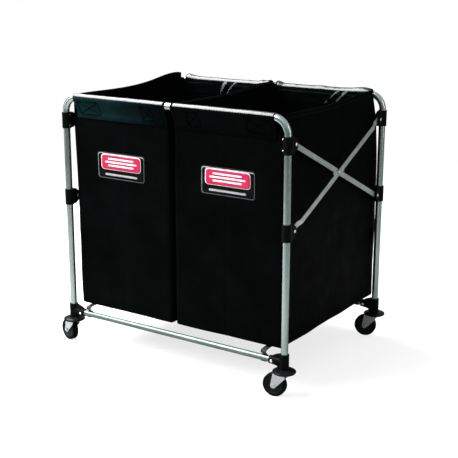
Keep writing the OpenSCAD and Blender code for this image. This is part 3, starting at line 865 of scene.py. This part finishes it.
def side_hem(bag, outer):
    """The folded hem along a side's free edge: a flat loop round the edge."""
    x = bag.outer_x if outer else bag.inner_x
    columns = steps(-PANEL_Y + 0.004, PANEL_Y - FRONT_TRIM - 0.001, 0.006)
    half = [(HEM_GAP, HEM_DEPTH), (HEM_GAP, HEM_DEPTH / 2), (HEM_GAP, 0.002), (HEM_GAP * 0.7, -0.0004)]
    turn = [(-out, down) for out, down in half] + [(0, -0.001)] + half[::-1]
    points = []
    for out, down in turn:
        for y in columns:
            top = bag.top_of_side(y, outer)
            cloth = bag.place(Vector((x, y, top - max(down, 0))))
            points.append(cloth + Vector((out, 0, min(down, 0) * -1)))
    name = "hem_" + bag.name + ("_outer" if outer else "_inner")
    piece = mesh_piece(name, points, grid_faces(len(turn), len(columns)), CLOTH)
    thicken(piece, 0.0007)
    return piece


def on_cloth(bag, places, out, normal):
    """Path of (point, normal) on the cloth, from places on the bag's sharp box."""
    return [(bag.place(Vector(place), 0, out), normal) for place in places]


def body_stitching(bag):
    """Rows beside the front corners' seams, under the side hems and round the floor."""
    paths = []
    out = CLOTH_T / 2 + 0.0004
    over_hem = 0.0018
    front = (0, -1, 0)
    foot = FLOOR_Z + FOOT_ROW
    rows = steps(FLOOR_Z + ROW_FOOT, BODY_TOP - ROW_END, ROW_STEP)
    columns = steps(-PANEL_Y + SIDE_ROW_END, PANEL_Y - FRONT_TRIM - SIDE_ROW_END, ROW_STEP)
    side_y = -PANEL_Y + CORNER_R + SEAM_ROW
    for x, turn in zip(bag.x, (-1, 1)):
        side = (turn, 0, 0)
        outer = turn == bag.side
        face_x = x - turn * (CORNER_R + SEAM_ROW)
        under_hem = [(x, y, bag.top_of_side(y, outer) - HEM_STITCH) for y in columns]
        paths += [
            on_cloth(bag, [(face_x, -PANEL_Y, z) for z in rows], out, front),
            on_cloth(bag, [(x, side_y, z) for z in rows], out, side),
            on_cloth(bag, under_hem, over_hem, side),
            on_cloth(bag, [(x, y, foot) for y in columns], out, side),
        ]
    across = steps(bag.x[0] + ROW_END, bag.x[1] - ROW_END, ROW_STEP)
    paths.append(on_cloth(bag, [(x, -PANEL_Y, foot) for x in across], out, front))
    points, faces = stitches(paths)
    return mesh_piece("stitching_body_" + bag.name, points, faces, THREAD)


def back_stitching(bag):
    """Rows up the rear panel's edges and along its foot."""
    paths = []
    out = CLOTH_T / 2 - 0.0014
    rear = (0, 1, 0)
    rows = steps(FLOOR_Z + ROW_FOOT, BODY_TOP - ROW_END, ROW_STEP)
    for edge, turn in zip(bag.x, (1, -1)):
        x = edge + turn * (CORNER_R + SEAM_ROW)
        paths.append(on_cloth(bag, [(x, PANEL_Y, z) for z in rows], out, rear))
    across = steps(bag.x[0] + ROW_END, bag.x[1] - ROW_END, ROW_STEP)
    paths.append(on_cloth(bag, [(x, PANEL_Y, FLOOR_Z + FOOT_ROW) for x in across], out, rear))
    points, faces = stitches(paths)
    return mesh_piece("stitching_back_" + bag.name, points, faces, THREAD)


# ---------------------------------------------------------------- label
LABEL_W = 0.195
LABEL_H = LABEL_HI.z - LABEL_LO.z
BAR_H = 0.005

# A label's layers, each on the one before: size, rise of its middle, radius, how proud, look
LABEL_LAYERS = {
    "plate": ((LABEL_W, LABEL_H), 0, 0.009, 0.0003, INK_DARK),
    "border": ((LABEL_W - 0.008, LABEL_H - 0.008), 0, 0.007, 0.0006, INK_GREY),
    "field": ((LABEL_W - 0.0105, LABEL_H - 0.0105), 0, 0.006, 0.0009, INK_DARK),
    "red_edge": ((0.1605, 0.0505), 0.013, 0.011, 0.0012, INK_WHITE),
    "red": ((0.157, 0.047), 0.013, 0.010, 0.0015, INK_RED),
    "foot": ((0.132, 0.0065), -0.028, 0.002, 0.0012, INK_GREY),
    "bar_0": ((0.104, BAR_H), 0.024, 0.002, 0.0018, INK_WHITE),
    "bar_1": ((0.128, BAR_H), 0.013, 0.002, 0.0018, INK_WHITE),
    "bar_2": ((0.104, BAR_H), 0.002, 0.002, 0.0018, INK_WHITE),
}


def rounded_patch(width, height, radius, across=28, up=14):
    """A flat rounded rectangle as a grid of (x, z), fine enough to follow the cloth."""
    points = []
    for j in range(up + 1):
        for i in range(across + 1):
            x = (i / across - 0.5) * width
            z = (j / up - 0.5) * height
            cx, cz = width / 2 - radius, height / 2 - radius
            dx, dz = max(0, abs(x) - cx), max(0, abs(z) - cz)
            reach = max(dx, dz)
            length = math.hypot(dx, dz)
            if length > 0:
                x = math.copysign(min(abs(x), cx) + dx * reach / length, x)
                z = math.copysign(min(abs(z), cz) + dz * reach / length, z)
            points.append((x, z))
    return points, grid_faces(up + 1, across + 1)


def label_layer(bag, name, centre, size, radius, proud, look):
    """One printed layer of a label, laid on the front panel's cloth."""
    patch, faces = rounded_patch(size[0], size[1], radius)
    points = []
    for x, z in patch:
        place = Vector((centre[0] + x, -PANEL_Y, centre[1] + z))
        points.append(bag.place(place, 0, CLOTH_T / 2 + proud))
    piece = mesh_piece(name, points, faces, look)
    thicken(piece, 0.0005)
    return piece


def label(bag):
    """Dark plate, thin pale border, red field with three bars and one bar under it."""
    x = (LABEL_HI.x - LABEL_W / 2) * bag.side
    z = (LABEL_HI.z + LABEL_LO.z) / 2
    layers = []
    for part, (size, rise, radius, proud, look) in LABEL_LAYERS.items():
        name = f"label_{part}_{bag.name}"
        layers.append(label_layer(bag, name, (x, z + rise), size, radius, proud, look))
    return layers


# ---------------------------------------------------------------- straps
STRAP_T = 0.0016
STRAP_W = 0.020
RUN_W = 0.0196
RUN_END = 0.262

# Half of the webbing's section: place across and half height, as shares of its width and thickness
STRAP_SECTION = [(-0.5, 0.35), (-0.46, 0.9), (-0.2, 1.0), (0.2, 1.0), (0.46, 0.9), (0.5, 0.35)]

# The strap's slack bow above a cross tube: towards the bag, and up from the tube's axis
STRAP_BOW = (
    (0.001, 0.0140),
    (-0.0055, 0.0165),
    (-0.0090, 0.0205),
    (-0.0070, 0.0250),
    (0.0030, 0.0285),
)


def strap_strip(name, line, x, width):
    """Flat webbing, swept along a line of (y, z) points at that x, with a soft edge."""
    line = [np.array(p, float) for p in line]
    ring = [(o, k / 2) for o, k in STRAP_SECTION]
    ring += [(o, -k / 2) for o, k in reversed(STRAP_SECTION)]
    points = []
    for i, p in enumerate(line):
        before = line[max(0, i - 1)]
        after = line[min(len(line) - 1, i + 1)]
        along = (after - before) / max(np.linalg.norm(after - before), 1e-9)
        normal = np.array((-along[1], along[0]))
        for o, k in ring:
            y, z = p + normal * k * STRAP_T
            points.append((x + o * width, y, z))
    first_end = range(len(ring))
    last_end = range(len(points) - len(ring), len(points))
    faces = grid_faces(len(line), len(ring), closed=True)
    faces += [tuple(reversed(first_end)), tuple(last_end)]
    return mesh_piece(name, points, faces, WEBBING)


def strap_pieces(x, side_name):
    """Loop round each cross tube with its tail up to the floor, and the run between them."""
    r = CROSS_R + 0.0012
    under = FLOOR_Z - 0.0026
    angles = np.linspace(-0.18 * math.pi, 0.80 * math.pi, 22)
    loops = []
    for sign, end in ((-1, "front"), (1, "rear")):
        y = sign * RAIL_Y
        turn = [(y - sign * r * math.sin(a), CROSS_Z - r * math.cos(a)) for a in angles]
        bow = [(y - sign * back, CROSS_Z + up) for back, up in STRAP_BOW]
        tail = [(y - sign * (0.016 + 0.044 * t), under - 0.0002 * t) for t in np.linspace(0, 1, 5)]
        line = smooth_line(turn + bow + tail, 2)
        loops.append((strap_strip(f"strap_{end}_{side_name}", line, x, STRAP_W), sign < 0))
    line = []
    for y in np.linspace(-RUN_END, RUN_END, 60):
        sag = 0.004 * math.sin(math.pi * (y + RUN_END) / (2 * RUN_END))
        line.append((y, under - 0.0022 - sag))
    return loops, strap_strip("strap_run_" + side_name, line, x, RUN_W)


# ---------------------------------------------------------------- build the soft goods
def hang_body(bag):
    """The body with its hems and stitching, which ride on the front frame."""
    body = bag_body(bag)
    folds_with_cart(body)
    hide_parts("bag_sides_" + bag.name, "bag_floor_" + bag.name)
    hems = [side_hem(bag, True), side_hem(bag, False)]
    for hem in hems:
        folds_with_cart(hem)
    sewn = body_stitching(bag)
    folds_with_cart(sewn)


def hang_back(bag):
    """The rear panel with its stitching, which come forward with the rear frame."""
    back = bag_back(bag)
    rides(back, False)
    sewn = back_stitching(bag)
    rides(sewn, False)


def hang_sleeve(bag, front):
    """A sleeve over the front or the rear rail, with its stitching and its bound inner end."""
    sleeve = Sleeve(bag, front)
    cloth = sleeve.cloth()
    rides(cloth, front)
    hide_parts(("bag_front_" if front else "bag_rear_") + bag.name)
    sewn = sleeve_stitching(sleeve)
    rides(sewn, front)
    band_start = (SLEEVE_NEAR - 0.0005) * bag.side
    band_end = (SLEEVE_NEAR + 0.008) * bag.side
    band = sleeve.band(band_start, band_end, "binding_" + sleeve.name)
    rides(band, front)


def stick_label(bag):
    """All layers of a label ride on the front frame, like the panel that they are printed on."""
    layers = label(bag)
    for layer in layers:
        folds_with_cart(layer)
    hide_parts("labels")


def hang_strap(side, side_name):
    """One strap: a loop on each frame, and the run between them, which rides on the front frame."""
    loops, middle = strap_pieces(side * (STRAP_EDGE - STRAP_W / 2), side_name)
    for piece, front in loops:
        rides(piece, front)
    folds_with_cart(middle)
    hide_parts("straps")


for bag in (Bag(-1), Bag(1)):
    hang_body(bag)
    hang_back(bag)
    for front in (True, False):
        hang_sleeve(bag, front)
    stick_label(bag)
for side, side_name in ((-1, "left"), (1, "right")):
    hang_strap(side, side_name)


# ---------------------------------------------------------------- stage, lights, camera
def floor():
    """A wide plain floor that looks white but lights the cart from below only faintly."""
    size = 60
    mesh = bpy.data.meshes.new("studio_floor")
    mesh.from_pydata([(-size, -size, 0), (size, -size, 0), (size, size, 0), (-size, size, 0)],
                     [], [(0, 1, 2, 3)])
    plane = bpy.data.objects.new("studio_floor", mesh)
    bpy.context.scene.collection.objects.link(plane)
    n = Nodes("studio_floor")
    n.colours(n.noise(0.6, 2), (0.30, 0.30, 0.30), (0.32, 0.32, 0.32))
    n.roughness(n.noise(2, 2), 0.7, 0.8)
    n.fixed(Specular_IOR_Level=0.0, Emission_Color=(1, 1, 1, 1))
    seen = n.add("ShaderNodeLightPath").outputs["Is Camera Ray"]
    n.link(n.math("MULTIPLY", seen, 0.74), n.shader.inputs["Emission Strength"])
    n.fade_out(1.4, 3.4)
    mesh.materials.append(n.material)


def softbox(name, place, aim, size, power):
    """A rectangular area light, out of the camera's sight."""
    data = bpy.data.lights.new(name, "AREA")
    data.shape = "RECTANGLE"
    data.size, data.size_y = size
    data.energy = power
    lamp = bpy.data.objects.new(name, data)
    lamp.location = place
    direction = Vector(aim) - Vector(place)
    lamp.rotation_euler = direction.to_track_quat("-Z", "Y").to_euler()
    lamp.visible_camera = False
    bpy.context.scene.collection.objects.link(lamp)


def backdrop():
    """White where it is seen, and dimmer round the horizon where it lights the cart."""
    world = bpy.data.worlds.new("studio")
    world.use_nodes = True
    tree = world.node_tree
    light = tree.nodes["Background"]
    seen = tree.nodes.new("ShaderNodeBackground")
    seen.inputs["Color"].default_value = (1, 1, 1, 1)
    path = tree.nodes.new("ShaderNodeLightPath")
    mix = tree.nodes.new("ShaderNodeMixShader")
    place = tree.nodes.new("ShaderNodeTexCoord")
    split = tree.nodes.new("ShaderNodeSeparateXYZ")
    ramp = tree.nodes.new("ShaderNodeValToRGB")
    ramp.color_ramp.elements[0].position = 0.0
    ramp.color_ramp.elements[0].color = (0.20, 0.22, 0.22, 1)
    ramp.color_ramp.elements[1].position = 0.7
    ramp.color_ramp.elements[1].color = (1.0, 1.0, 1.0, 1)
    light.inputs["Strength"].default_value = 0.8
    tree.links.new(place.outputs["Generated"], split.inputs[0])
    tree.links.new(split.outputs["Z"], ramp.inputs["Fac"])
    tree.links.new(ramp.outputs["Color"], light.inputs["Color"])
    tree.links.new(path.outputs["Is Camera Ray"], mix.inputs["Fac"])
    tree.links.new(light.outputs[0], mix.inputs[1])
    tree.links.new(seen.outputs[0], mix.inputs[2])
    tree.links.new(mix.outputs[0], tree.nodes["World Output"].inputs["Surface"])
    bpy.context.scene.world = world


def studio():
    """Floor, one large light overhead, a narrow one on each side, and the backdrop."""
    floor()
    middle = (0, 0, 0.5)
    softbox("softbox_over", (-1.7, -0.8, 3.0), middle, (4.2, 2.2), 600)
    softbox("softbox_right", (3.2, 0.2, 1.5), middle, (0.6, 2.6), 24)
    softbox("softbox_left", (-2.8, -2.2, 1.5), middle, (0.5, 2.6), 24)
    backdrop()
    bpy.context.scene.view_settings.view_transform = "Standard"


def camera():
    """At the photograph's viewing angle: ahead and to the right, a little above the rails."""
    data = bpy.data.cameras.new("camera")
    data.sensor_width = 36
    data.lens = 79.15
    data.clip_end = 200
    eye = bpy.data.objects.new("camera", data)
    eye.location = (1.840, -2.763, 1.291)
    yaw = -0.584
    pitch = -0.2631
    roll = 0.002
    look = Vector((math.sin(yaw) * math.cos(pitch), math.cos(yaw) * math.cos(pitch), math.sin(pitch)))
    turn = look.to_track_quat("-Z", "Y").to_matrix()
    eye.rotation_euler = (turn @ Euler((0, 0, roll)).to_matrix()).to_euler()
    bpy.context.scene.collection.objects.link(eye)
    bpy.context.scene.camera = eye


studio()
camera()
